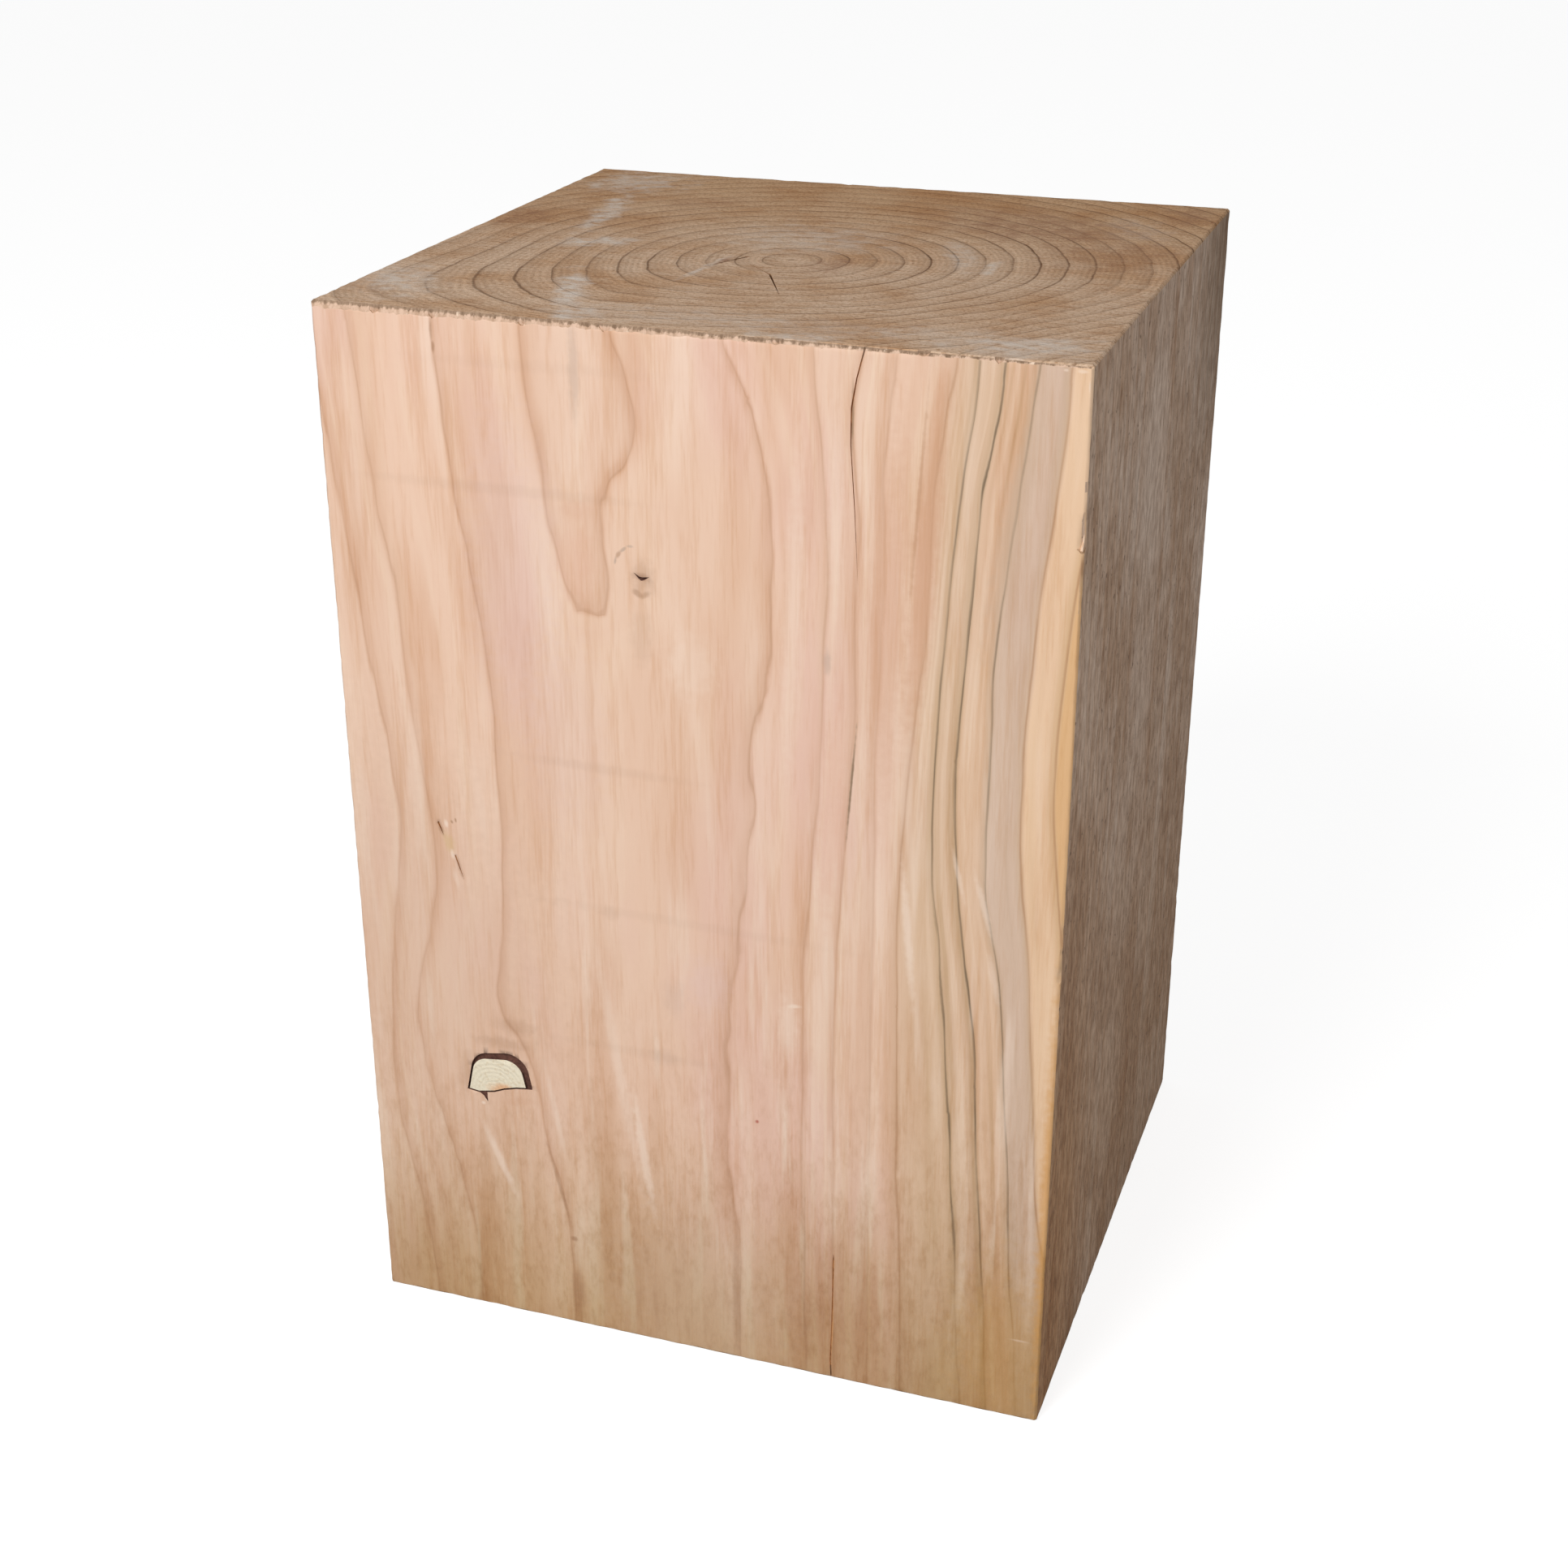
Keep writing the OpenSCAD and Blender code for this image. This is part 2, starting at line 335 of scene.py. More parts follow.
def new_group(name, vectors, values, outputs):
    """An empty node group with vector and value inputs and value outputs: its net and both ends."""
    tree = bpy.data.node_groups.new(name, "ShaderNodeTree")
    for way, kind, sockets in (
        ("INPUT", "Vector", vectors), ("INPUT", "Float", values), ("OUTPUT", "Float", outputs)
    ):
        for socket in sockets:
            tree.interface.new_socket(name=socket, in_out=way, socket_type="NodeSocket" + kind)
    net = NodeNet(tree)
    given = net.node("NodeGroupInput").outputs
    net.position = given["Position"]
    return net, given, net.node("NodeGroupOutput").inputs


def growth_rings_group():
    """Age of the wood in years at each point, and where in its year's ring the point lies."""
    net, given, out = new_group(
        "growth_rings", ("Position", "Pith"), ("Shift", "Pace", "Ring Width", "Lean"),
        ("Age", "Late", "Band", "Line", "Tint", "Streak"),
    )
    from_pith = net.vector("SUBTRACT", given["Position"], given["Pith"])
    split = net.split(from_pith)
    across = net.vector("LENGTH", net.stretch(from_pith, 1, 1, 0), output=1)
    years = net.math("DIVIDE", net.times_add(split[0], given["Lean"], across), given["Ring Width"])
    ripple = net.grain((100, 100, 30), 2, 0.45)
    ripple = net.times(net.math("SUBTRACT", ripple, 0.5), 0.2)
    age = net.math("ADD", net.math("ADD", years, given["Shift"]), ripple)
    share = net.math("FRACT", age)
    ring = net.math("FLOOR", age)
    # Distances in mm from the line that closes the ring, inside it and outside it
    inside = net.math("DIVIDE", net.math("SUBTRACT", 1.0, share), given["Pace"])
    outside = net.math("DIVIDE", share, given["Pace"])
    run = net.node("ShaderNodeCombineXYZ", {"X": net.times(ring, 7.3), "Z": split[2]}).outputs[0]
    fade = net.rise(net.grain((1, 1, 34), 2, position=run), 0.28, 0.66)
    sharp = net.rise(inside, 0.6, 0.1)
    line = net.math("MAXIMUM", sharp, net.times(net.rise(outside, 0.35, 0.0), 0.95))
    band = net.math("MAXIMUM", net.rise(inside, 2.8, 0.0), net.rise(outside, 0.9, 0.0))
    darker = net.math("POWER", net.rise(inside, 9.0, 0.0), 1.7)
    late = net.math("MAXIMUM", darker, net.rise(outside, 1.3, 0.0))
    along = net.node("ShaderNodeCombineXYZ", {"X": age, "Z": split[2]}).outputs[0]
    net.put(out["Age"], age)
    net.put(out["Late"], late)
    net.put(out["Band"], band)
    net.put(out["Line"], net.times(line, net.times_add(fade, 0.75, 0.25)))
    net.put(out["Tint"], net.random(ring))
    net.put(out["Streak"], net.grain((2.6, 1, 7), 3, 0.5, along))
    return net.tree


def fibre_group():
    """Streaks of the wood's fibres along the grain, fine and broad."""
    net, _, out = new_group("fibre_streaks", ("Position",), (), ("Fine", "Broad"))
    net.put(out["Fine"], net.grain((1700, 1700, 90), 3, 0.6))
    net.put(out["Broad"], net.grain((260, 260, 16), 3, 0.55))
    return net.tree


def saw_group():
    """Marks that the band saw's teeth left across the grain."""
    net, given, out = new_group("saw_marks", ("Position",), ("Spacing",), ("Ripple",))
    split = net.split(net.position)
    waver = net.times(net.grain((14, 14, 14), 2), 3 * MM)
    teeth = net.math("DIVIDE", net.math("ADD", split[2], waver), given["Spacing"])
    wave = net.math("SINE", net.times(teeth, 2 * math.pi))
    broken = net.rise(net.grain((60, 60, 120), 2), 0.35, 0.65)
    net.put(out["Ripple"], net.times(wave, broken))
    return net.tree


# Half depth of every patch, square to the face that it marks
PATCH_DEPTH = 4 * MM


def patch_group():
    """Soft-edged patch of a given size and turn around a place, broken up at its rim."""
    net, given, out = new_group("patch", ("Position", "Centre", "Turn", "Size"), ("Rim",), ("Mask",))
    offset = net.vector("SUBTRACT", given["Position"], given["Centre"])
    inputs = {"Vector": offset, "Rotation": given["Turn"]}
    turned = net.node("ShaderNodeVectorRotate", inputs, rotation_type="EULER_XYZ", invert=True)
    local = net.vector("DIVIDE", turned.outputs[0], given["Size"])
    away = net.math("ADD", net.vector("LENGTH", local, output=1), given["Rim"])
    net.put(out["Mask"], net.rise(away, 1.0, 0.2))
    return net.tree


class Paint:
    """A colour built up coat by coat. A tint is a node's output, a setting, or a tuple up to 255."""

    def __init__(self, net, colour):
        self.net = net
        self.colour = colour

    def mix(self, share, tint, blend="MIX"):
        tint = shade(*tint) if isinstance(tint, tuple) else tint
        self.colour = self.net.mix(share, self.colour, tint, blend)

    def tone(self, share, tint):
        """Multiplies the colour by the tint, as far as share says."""
        self.mix(share, tint, "MULTIPLY")


def new_material(name):
    """A material with its Principled shader: the net and the shader's inputs."""
    material = bpy.data.materials.new(name)
    material.use_nodes = True
    net = NodeNet(material.node_tree)
    inputs = material.node_tree.nodes["Principled BSDF"].inputs
    inputs["Specular IOR Level"].default_value = 0.25
    return material, net, inputs


def new_finish(name):
    """A material whose pattern follows the object's own coordinates."""
    material, net, inputs = new_material(name)
    net.position = net.node("ShaderNodeTexCoord").outputs["Object"]
    return material, net, inputs


def coat(net, inputs, colour, roughness):
    net.put(inputs["Base Color"], colour)
    net.put(inputs["Roughness"], roughness)


def bump(net, inputs, height, strength, depth):
    made = net.node("ShaderNodeBump", {"Height": height, "Strength": strength, "Distance": depth})
    net.put(inputs["Normal"], made.outputs["Normal"])


# Marks on the front face: place from left and base and half size, in mm, turn in degrees,
# strength, and colour in numbers up to 255
BROWN = (158, 116, 84)
GREY = (172, 150, 136)
PALE = (246, 224, 206)
LILAC = (228, 198, 192)
FRONT_MARKS = (
    (18, 112, (62, 100), 0, 0.3, (206, 170, 144)), (153, 232, (6, 74), 2, 0.45, (214, 167, 136)),
    (161.5, 246, (4.6, 62), 4, 0.6, (212, 164, 132)),
    (159.6, 264, (0.7, 36), 3.5, 0.5, (190, 142, 108)),
    (183, 262, (4.5, 46), 10, 0.5, (206, 177, 152)), (52, 235, (18, 60), 0, 0.3, LILAC),
    # (100, 16) pales the middle of the foot, easing its stain and painted shade there.
    (100, 16, (42, 44), 0, 0.25, (214, 188, 168)), (104, 122, (9, 12), 0, 0.3, LILAC),
    (66, 190, (16, 40), 0, 0.2, LILAC), (127, 114, (4, 14), 0, 0.4, PALE),
    (101, 214, (10, 13), 0, 0.3, PALE), (77, 92, (2.6, 52), -9, 0.3, PALE),
    (84, 64, (1.9, 28), -8, 0.5, PALE), (39, 53, (1.8, 17), -22, 0.5, PALE),
    (57, 74, (1.4, 22), -10, 0.3, PALE), (139, 262, (3, 40), 0, 0.25, PALE),
    (159.5, 147, (1.7, 27), -5, 0.55, PALE), (172.4, 166, (1, 11), -14, 0.4, PALE),
    (179.4, 158, (1.3, 13), -16, 0.45, PALE), (182.5, 138, (1.4, 10), -12, 0.35, PALE),
    (128, 230, (3.4, 60), 2, 0.3, PALE), (138.5, 178, (5, 46), 2, 0.35, (224, 172, 146)),
    (70, 238, (7.5, 16), 0, 0.3, (222, 170, 142)),
    (PIN_KNOT[0] + 0.3, PIN_KNOT[1] - 0.2, (3.4, 1.6), 8, 0.45, (140, 100, 80)),
    (PIN_KNOT[0] + 0.5, PIN_KNOT[1] - 0.5, (4.6, 7), 0, 0.28, BROWN),
    (PIN_KNOT[0] - 1.1, PIN_KNOT[1] - 4.6, (2.2, 1.2), 35, 0.4, BROWN),
    (PIN_KNOT[0] + 0.9, PIN_KNOT[1] - 4.8, (2.2, 1.2), -35, 0.4, BROWN),
    (PIN_KNOT[0] - 0.3, PIN_KNOT[1] - 16, (4.5, 12), 0, 0.14, BROWN),
    (80.9, 240, (0.5, 1.3), 12, 0.55, GREY), (81.8, 241.7, (0.8, 1.6), 30, 0.5, BROWN),
    (83.2, 243.2, (0.6, 1.4), 48, 0.55, GREY), (85, 244.2, (1.3, 0.5), 0, 0.4, GREY),
    (27, 157, (1, 3), -18, 0.5, BROWN), (32, 145.6, (1, 4.4), -15, 0.45, BROWN),
    (28.7, 158.6, (0.9, 1.7), -10, 0.65, PALE), (29.2, 153, (2.4, 4.8), -12, 0.45, (214, 182, 130)),
    (30, 149.6, (0.9, 2.1), -8, 0.6, PALE), (30.6, 142.5, (1.1, 4), -10, 0.3, PALE),
    (30.4, 159.4, (0.5, 0.8), -30, 0.6, BROWN), (31.6, 160, (0.4, 0.9), -10, 0.6, BROWN),
    (197.5, 298.4, (1.8, 0.6), 0, 0.5, PALE), (193.6, 298.4, (0.9, 0.5), 0, 0.5, PALE),
    (199.2, 295, (0.35, 1.8), 0, 0.5, PALE), (34.8, 71, (0.9, 0.9), 0, 0.7, PALE),
    (46, 73.4, (8, 1.8), -10, 0.3, (214, 168, 138)), (30, 80, (3.4, 10), 8, 0.2, BROWN),
    (42, 92, (12, 3), 0, 0.25, BROWN), (143.7, 187, (0.5, 21), 4.2, 0.75, (112, 92, 62)),
    (142.9, 283, (0.5, 12), 0, 0.5, (112, 92, 62)), (131.8, 38, (0.5, 34), 0, 0.35, BROWN),
    (33.2, 295, (0.6, 4), 0, 0.5, BROWN), (33.6, 290.6, (0.7, 2), 0, 0.6, BROWN),
    (137, 220, (1.6, 5), 0, 0.35, GREY), (94, 116, (5, 8), 0, 0.14, GREY),
    (91, 97, (6, 4), 0, 0.12, GREY), (128.6, 120, (3, 0.9), -8, 0.6, PALE),
    (118, 81.7, (0.8, 0.8), 0, 0.8, (176, 84, 66)), (57.5, 48, (0.9, 18), -14, 0.45, BROWN),
    (61.4, 30, (1.6, 1.2), 0, 0.6, BROWN), (62, 12, (3, 11), 0, 0.4, BROWN),
    (111.5, 22, (1.8, 27), 0, 0.35, BROWN), (70.5, 252, (6.5, 4), 0, 0.25, (212, 160, 130)),
    (71.3, 288, (2.2, 18), 0, 0.3, GREY), (76.3, 139, (4, 3), 0, 0.12, BROWN),
    (194, 26.5, (4, 0.5), 0, 0.6, PALE), (190, 20, (24, 46), 0, 0.45, (198, 152, 92)),
    (200, 70, (3.6, 95), 0, 0.65, (212, 154, 80)), (46, 98, (9, 4), 0, 0.2, BROWN),
    # Faint lines across the grain, one at each joint of the saw's band
    (60, 288, (52, 2.4), 0, 0.05, BROWN), (50, 255.5, (56, 2.4), 0, 0.09, BROWN),
    (75, 181.7, (36, 2.2), 1, 0.09, BROWN), (95, 139.7, (70, 2.2), 1, 0.06, BROWN),
    (84, 97, (36, 2.4), 1, 0.07, BROWN),
)


class Finishes:
    """The block's materials, built once from the settings."""

    def __init__(self, wood):
        self.wood = wood
        self.rings = growth_rings_group()
        self.fibres = fibre_group()
        self.saw = saw_group()
        self.patch = patch_group()
        self.slots = [
            self.sawn_face(), self.end_grain(), self.bark_lining(), self.knot(), self.torn_fibre(),
            self.rough_side(), self.resin_check(), self.torn_edge(),
        ]

    def ring_outputs(self, net):
        wood = self.wood
        shift = net.node("ShaderNodeAttribute", attribute_name="ring_shift").outputs["Fac"]
        pace = net.node("ShaderNodeAttribute", attribute_name="ring_pace").outputs["Fac"]
        return net.group(
            self.rings, Shift=shift, Pace=pace, Pith=(wood.pith_x, wood.pith_y, 0),
            Ring_Width=wood.ring_width, Lean=wood.lean,
        )

    @staticmethod
    def rim_noise(net, scale, ragged):
        """Noise that breaks up the rims of patches."""
        return net.times(net.math("SUBTRACT", net.noise(scale, 3), 0.5), ragged)

    def spot(self, net, rim, x, z, size, turn=0.0):
        """Mask of a patch on the front face, placed from the left side and the base, in mm."""
        place = (LEFT + x * MM, FRONT, z * MM)
        half_size = (size[0] * MM, PATCH_DEPTH, size[1] * MM)
        turns = (0, math.radians(turn), 0)
        return net.group(self.patch, Centre=place, Turn=turns, Size=half_size, Rim=rim)["Mask"]

    def sawn_face(self):
        """Front face: pale rings with thin lines, sapwood, stains and a browner, darker foot that is
        partly painted shade.
        """
        wood = self.wood
        material, net, shader = new_finish("sawn_face")
        rings = self.ring_outputs(net)
        fibres = net.group(self.fibres)
        saw = net.group(self.saw, Spacing=2.6 * MM)
        tight = net.rise(rings["Age"], 15, 17)
        shown = net.node("ShaderNodeAttribute", attribute_name="line_strength").outputs["Fac"]
        paint = Paint(net, net.mix(net.times(rings["Late"], 0.4), wood.early_wood, wood.late_wood))
        clouds = net.grain((26, 26, 10), 3)
        paint.mix(net.times(net.rise(clouds, 0.45, 0.7), 0.6), wood.pink_cloud)
        tint = net.node("ShaderNodeValToRGB", {"Fac": rings["Tint"]})
        self.tint_stops(tint.color_ramp)
        paint.tone(net.times_add(tight, 0.4, 0.2), tint.outputs["Color"])
        paint.tone(tight, (245, 247, 239))
        pale_band = net.times(net.rise(rings["Streak"], 0.48, 0.72), 0.55)
        paint.mix(pale_band, (243, 216, 192))
        dark_band = net.times(net.rise(rings["Streak"], 0.5, 0.3), net.times_add(tight, 0.45, 0.4))
        paint.tone(dark_band, net.mix(tight, shade(238, 222, 206), shade(234, 228, 214)))
        drift = net.grain((80, 80, 11), 3, 0.5)
        paint.mix(net.times(net.rise(drift, 0.5, 0.75), 0.45), (245, 220, 200))
        paint.tone(net.times(net.rise(drift, 0.48, 0.25), 0.6), (238, 224, 210))
        stain = net.times(net.rise(rings["Age"], 18.7, 19.1), net.rise(rings["Age"], 20.05, 19.85))
        paint.mix(net.times(stain, 0.6), wood.heart_stain)
        outer = net.times(net.rise(rings["Age"], 19.95, 20.15), net.times_add(drift, 0.8, 0.3))
        paint.mix(outer, wood.sapwood)
        paint.mix(net.times(net.rise(rings["Age"], 20.7, 21.1), 0.6), wood.old_gold)
        split = net.split(net.position)
        shown = net.times(shown, net.times_add(net.rise(split[2], 0.0, 0.075), 0.2, 0.8))
        band = net.times(net.times(rings["Band"], shown), 0.55)
        paint.mix(band, net.mix(tight, shade(208, 162, 132), shade(200, 170, 138)))
        grey_line = net.times(net.rise(rings["Age"], 16.3, 16.8), net.rise(rings["Age"], 19.6, 19.3))
        grey_line = net.times(grey_line, net.rise(split[2], 0.02, 0.07))
        line_colour = net.mix(grey_line, wood.ring_line, wood.grey_line)
        strength = net.times(net.times(rings["Line"], shown), net.times_add(tight, 0.5, 0.4))
        paint.mix(strength, line_colour)
        streaks = net.math("ADD", fibres["Fine"], fibres["Broad"])
        paint.tone(net.rise(streaks, 0.9, 1.35), (246, 238, 229))
        wisps = net.rise(net.grain((170, 170, 13), 3, 0.55), 0.54, 0.72)
        wisps = net.times(wisps, net.times_add(net.rise(split[2], 0.22, 0.1), 0.5, 0.15))
        paint.mix(wisps, (243, 219, 200))
        # The foot grows browner and darker towards the base: partly a yellow-brown stain, partly painted
        # shade.
        foot = net.times_add(drift, 55 * MM, split[2])
        paint.tone(net.rise(foot, 0.115, 0.022), wood.foot_stain_and_shade)
        nap = net.grain((520, 520, 200), 4, 0.6)
        napped = net.rise(foot, 0.17, 0.06)
        paint.tone(net.times(net.rise(nap, 0.4, 0.8), napped), (238, 230, 220))
        self.front_marks(net, paint)
        coat(net, shader, paint.colour, net.times_add(fibres["Fine"], 0.25, 0.62))
        height = net.times_add(fibres["Fine"], 0.6, net.times(fibres["Broad"], 0.5))
        height = net.times_add(saw["Ripple"], 0.06, height)
        height = net.times_add(rings["Line"], -0.3, height)
        height = net.times_add(net.times(nap, napped), 2.4, height)
        bump(net, shader, height, 0.35, 0.3 * MM)
        return material

    def rough_side(self):
        """The other sides: fuzzy grey-brown wood with only a hint of its rings, and painted shade towards
        the bottom and towards the top of the back.
        """
        wood = self.wood
        material, net, shader = new_finish("rough_side")
        rings = self.ring_outputs(net)
        fibres = net.group(self.fibres)
        saw = net.group(self.saw, Spacing=3.4 * MM)
        fuzz = net.grain((420, 420, 150), 4, 0.65)
        paint = Paint(net, net.mix(net.rise(fuzz, 0.3, 0.72), wood.rough_side, wood.rough_dark))
        clouds = net.grain((34, 34, 18), 4, 0.6)
        paint.tone(net.rise(clouds, 0.4, 0.68), (228, 216, 204))
        paint.tone(net.times(rings["Late"], 0.3), (226, 202, 178))
        paint.mix(net.times(rings["Line"], 0.25), wood.ring_line)
        split = net.split(net.position)
        # Painted shade: the sides grow darker towards the bottom. The gold tone below also uses this
        # mask.
        low = net.rise(net.times_add(clouds, 0.08, split[2]), 0.26, 0.08)
        paint.tone(low, (234, 224, 212))
        forward = net.rise(net.times_add(clouds, 0.03, split[1]), -0.01, -0.07)
        gold = net.times(forward, net.times_add(low, 0.75, 0.25))
        paint.tone(gold, (240, 221, 198))
        # Painted shade: the sides grow darker towards the back and the top.
        painted_shade_back_top = net.times(net.rise(split[1], 0.03, 0.09), net.rise(split[2], 0.2, 0.29))
        paint.tone(painted_shade_back_top, (194, 186, 176))
        specks = net.rise(net.noise(420, 3, 0.6), 0.61, 0.68)
        specks = net.times(specks, net.rise(clouds, 0.4, 0.55))
        paint.mix(net.times(specks, 0.7), (112, 92, 78))
        paint.tone(net.rise(fibres["Fine"], 0.5, 0.75), (210, 194, 178))
        coat(net, shader, paint.colour, net.times_add(fuzz, 0.2, 0.75))
        height = net.times_add(fibres["Fine"], 0.7, fuzz)
        height = net.times_add(saw["Ripple"], 0.14, height)
        bump(net, shader, height, 0.6, 0.6 * MM)
        return material

    @staticmethod
    def tint_stops(ramp):
        """Slight differences of colour from one year's ring to the next."""
        stops = (
            (0.0, (252, 244, 236)), (0.3, (250, 245, 228)),
            (0.6, (238, 240, 238)), (1.0, (254, 251, 244)),
        )
        while len(ramp.elements) < len(stops):
            ramp.elements.new(0.5)
        for element, (place, colour) in zip(ramp.elements, stops):
            element.position = place
            element.color = (*shade(*colour), 1)

    def front_marks(self, net, paint):
        """What handling, knots and resin left on the front face."""
        rim = self.rim_noise(net, 420, 0.7)
        for x, z, size, turn, strength, finish in FRONT_MARKS:
            mask = self.spot(net, rim, x, z, size, turn)
            paint.mix(net.times(mask, strength), finish)

    def end_grain(self):
        """Cut ends: browner, with closed ring lines, fuzzy pores, dusty scuffs and painted shade towards
        the back.
        """
        wood = self.wood
        material, net, shader = new_finish("end_grain")
        rings = self.ring_outputs(net)
        paint = Paint(net, net.mix(net.times(rings["Late"], 0.2), wood.end_early, wood.end_late))
        fine_rings = net.noise(30, 2, position=net.stretch(net.position, 1, 1, 0))
        fine_rings = net.times_add(fine_rings, 1.2, net.times(rings["Age"], 5))
        fine_rings = net.math("SINE", net.times(fine_rings, 2 * math.pi))
        paint.mix(net.times_add(fine_rings, 0.08, 0.08), wood.end_late)
        split = net.split(net.position)
        back_right = net.rise(split[0], 5 * MM, 45 * MM)
        back_right = net.times(back_right, net.rise(split[1], -15 * MM, 25 * MM))
        broken = net.rise(net.noise(55, 3, 0.6), 0.35, 0.6)
        strength = net.times_add(broken, 0.55, net.times_add(back_right, 0.4, 0.32))
        strength = net.times(rings["Line"], strength)
        paint.mix(strength, wood.end_late)
        clouds = net.noise(30, 4, 0.6)
        paint.tone(net.rise(clouds, 0.4, 0.7), (234, 216, 194))
        # Painted shade: the top grows darker and yellower towards the back.
        paint.tone(net.rise(split[1], -0.03, 0.09), (246, 234, 214))
        scratches = net.grain((90, 900, 90), 3, 0.6)
        paint.tone(net.rise(scratches, 0.45, 0.75), (226, 210, 192))
        pores = net.noise(950, 4, 0.7)
        paint.tone(net.rise(pores, 0.42, 0.75), (204, 184, 164))
        self.end_scuffs(net, paint)
        coat(net, shader, paint.colour, net.times_add(pores, 0.2, 0.74))
        height = net.times_add(scratches, 0.6, net.times(pores, 0.8))
        height = net.times_add(rings["Line"], -0.4, height)
        bump(net, shader, height, 0.7, 0.6 * MM)
        return material

    def torn_edge(self):
        """Ragged strip where the saw broke out of the top front edge: dark brown above; below, the
        front's colours darkened a little as painted shade.
        """
        material, net, shader = new_finish("torn_edge")
        tufts = net.grain((700, 700, 240), 4, 0.7)
        paint = Paint(net, net.mix(net.rise(tufts, 0.3, 0.7), shade(178, 150, 126), shade(132, 106, 84)))
        flecks = net.grain((380, 380, 300), 3, 0.6)
        split = net.split(net.position)
        flecks = net.times_add(net.rise(split[0], RIGHT - 24 * MM, RIGHT), 0.07, flecks)
        # The front's colours, darkened a little as painted shade to offset the extra light on the
        # upward-tilted strip.
        front_colour_shaded = net.mix(net.rise(tufts, 0.35, 0.65), shade(222, 189, 165), shade(192, 158, 132))
        height = net.times_add(tufts, 2.4 * MM, split[2])
        paint.mix(net.rise(height, TOP + 0.7 * MM, TOP + 0.2 * MM), front_colour_shaded)
        paint.mix(net.rise(flecks, 0.62, 0.72), (232, 206, 182))
        coat(net, shader, paint.colour, 0.85)
        bump(net, shader, tufts, 0.8, 0.7 * MM)
        return material

    def end_scuffs(self, net, paint):
        """Dusty streaks rubbed into the cut ends: place and half size in mm, turn in degrees."""
        scuffs = (
            (-72, 30, (6, 36), 8, 0.6), (-60, -8, (16, 8), 20, 0.6), (-43, -62, (6, 26), 20, 0.65),
            (-32, -86, (9, 12), 20, 0.6), (-19, -30, (2, 20), -6, 0.65), (27, -92, (16, 5), 0, 0.5),
            (82, -84, (20, 14), 20, 0.5), (-4, 14, (34, 26), 0, 0.3), (42, 6, (6, 28), 18, 0.35),
            (-80, 76, (22, 26), 0, 0.45), (-90, -68, (14, 26), 30, 0.5), (53, -6, (2.5, 14), 4, 0.5),
            (80, 55, (12, 24), 20, 0.2), (10, -82, (70, 13), 0, 0.25), (70, -80, (34, 13), 0, 0.2),
        )
        dark = (
            (12, -16, (8, 15), 0, 0.35), (-92, 16, (11, 17), 0, 0.45),
            (-50, 52, (22, 12), 20, 0.2), (52, 50, (44, 28), -20, 0.42),
            (80, 18, (26, 30), 0, 0.25), (92, 78, (10, 18), 0, 0.4),
            (-17, -20, (1.6, 8), -6, 0.6),
        )
        rim = self.rim_noise(net, 140, 1.5)
        dust = net.rise(net.grain((170, 300, 170), 4, 0.7), 0.3, 0.66)
        for marks, finish in ((scuffs, self.wood.end_scuff), (dark, (150, 106, 78))):
            for x, y, size, turn, strength in marks:
                place = (x * MM, y * MM, TOP)
                half_size = (size[0] * MM, size[1] * MM, PATCH_DEPTH)
                turns = (0, 0, math.radians(turn))
                mask = net.group(self.patch, Centre=place, Turn=turns, Size=half_size, Rim=rim)["Mask"]
                mask = net.times(mask, dust)
                paint.mix(net.times(mask, 1.6 * strength), finish)

    def bark_lining(self):
        """Dark walls of the bark gap and of the pin knot's pit."""
        material, net, shader = new_finish("bark_lining")
        crumbs = net.noise(900, 4, 0.6)
        paint = Paint(net, net.mix(net.rise(crumbs, 0.3, 0.75), self.wood.bark, shade(116, 78, 66)))
        coat(net, shader, paint.colour, 0.9)
        bump(net, shader, crumbs, 0.8, 0.5 * MM)
        return material

    def knot(self):
        """Cut branch: cream, with its own small rings and a resin stain at its foot."""
        wood = self.wood
        material, net, shader = new_finish("knot_wood")
        middle = (LEFT + (KNOT_MIDDLE[0] - 2) * MM, FRONT, (KNOT_MIDDLE[1] - 5) * MM)
        away = net.vector("LENGTH", net.vector("SUBTRACT", net.position, middle), output=1)
        warp = net.times(net.noise(260, 3), 1.6 * MM)
        rings = net.math("SINE", net.times(net.math("ADD", away, warp), 2 * math.pi / (1.3 * MM)))
        paint = Paint(net, net.mix(net.times_add(rings, 0.08, 0.1), wood.knot_wood, shade(212, 198, 166)))
        rim = self.rim_noise(net, 420, 0.7)
        stain = self.spot(net, rim, KNOT_MIDDLE[0] + 0.5, KNOT_MIDDLE[1] - 4.6, (6, 3))
        paint.mix(net.times(stain, 0.8), wood.knot_stain)
        specks = net.noise(1300, 3)
        paint.tone(net.rise(specks, 0.5, 0.75), (240, 232, 222))
        coat(net, shader, paint.colour, 0.7)
        bump(net, shader, net.times_add(rings, 0.2, specks), 0.5, 0.3 * MM)
        return material

    def resin_check(self):
        """Walls and floor of the drying checks: brown, darker at the heart as painted shade, and paler
        near the base as painted light.
        """
        material, net, shader = new_finish("resin_check")
        beads = net.grain((500, 500, 300), 3)
        paint = Paint(net, net.mix(net.rise(beads, 0.4, 0.65), self.wood.resin, shade(214, 166, 118)))
        split = net.split(net.position)
        # Painted shade: check walls more than 10 to 20 mm back from the front, the top's heart checks,
        # are darkened.
        heart = net.times(net.rise(split[1], FRONT + 10 * MM, FRONT + 20 * MM), 0.6)
        paint.mix(heart, (96, 66, 50))
        # Painted light: the narrow check near the base is made paler to lift the shade inside it.
        low = net.times(net.rise(split[2], 110 * MM, 70 * MM), net.rise(beads, 0.3, 0.6))
        paint.mix(low, (222, 174, 122))
        coat(net, shader, paint.colour, 0.6)
        return material

